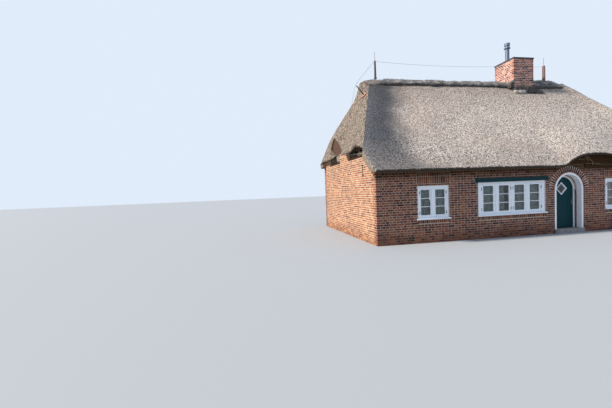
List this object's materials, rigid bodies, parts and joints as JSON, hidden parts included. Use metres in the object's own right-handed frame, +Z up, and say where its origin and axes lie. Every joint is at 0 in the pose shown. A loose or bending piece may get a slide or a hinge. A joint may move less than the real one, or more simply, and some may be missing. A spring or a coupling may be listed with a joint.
{
  "type": "thatched cottage",
  "caption": "Low brick cottage with a steep half-hipped thatched roof, an eyebrow eave over the arched door, a square chimney and casement windows.",
  "frame": {"origin": "on the ground, under the middle of the roof plan", "axes": "+X along the front to the right as seen from the front, +Y from the front to the back, +Z up"},
  "size_m": [13.848, 7.75, 8.93],
  "materials": {
    "brick": "weathered red-brown brick with pale mortar joints",
    "floor_brick": "worn brick paving",
    "floor_boards": "dark plain boards",
    "plaster": "smooth painted plaster",
    "white_paint": "white painted timber",
    "teal_paint": "dark teal painted timber",
    "dark_timber": "dark rough boards",
    "grey_timber": "weathered grey timber",
    "door_stone": "worn stone",
    "cap_slate": "dark stone slab",
    "steel": "dull grey metal",
    "glass": "clear window glass",
    "wire": "thin galvanised wire",
    "thatch": "weathered reed thatch",
    "heather": "dark matted heather"
  },
  "bodies": {
    "house": {"wall_front_left": "brick", "wall_front_right": "brick", "wall_front_over_door": "brick", "wall_back": "brick", "wall_left": "brick", "wall_right": "brick", "arch_ring": "brick", "chimney_stack": "brick", "floor_slab": "floor_brick", "loft_floor": "floor_boards", "doorway_surround": "plaster", "door_frame": "white_paint", "window_left_frame": "white_paint", "window_wide_frame": "white_paint", "window_right_frame": "white_paint", "window_back_1_frame": "white_paint", "window_back_2_frame": "white_paint", "window_back_3_frame": "white_paint", "lintel_board": "teal_paint", "eyebrow_boards": "dark_timber", "attic_left_1_frame": "dark_timber", "attic_left_2_frame": "dark_timber", "attic_right_1_frame": "dark_timber", "attic_right_2_frame": "dark_timber", "ridge_post_left": "grey_timber", "ridge_post_right": "grey_timber", "hip_stake": "grey_timber", "door_sill": "door_stone", "chimney_cap": "cap_slate", "door_hinge_lower": "steel", "door_hinge_upper": "steel", "flue_pipe": "steel", "window_left_glass": "glass", "window_wide_glass": "glass", "window_right_glass": "glass", "glass_back": "glass", "glass_attic_left": "glass", "glass_attic_right": "glass", "ridge_wire_left": "wire", "ridge_wire_right": "wire", "hip_wire": "wire", "gable_wire": "wire", "thatch_front": "thatch", "thatch_back": "thatch", "thatch_hip_left": "thatch", "thatch_hip_right": "thatch", "ridge_sod": "heather"},
    "door": {"door_leaf": "teal_paint", "door_window_frame": "white_paint", "door_window_glass": "glass", "door_handle": "steel"}
  },
  "joints": [
    {"name": "door_swing", "type": "hinge", "parent": "house", "child": "door", "pos_m": [0.715, -3.138, 0.9], "axis": [0, 0, 1], "range_deg": [0, 95]}
  ]
}
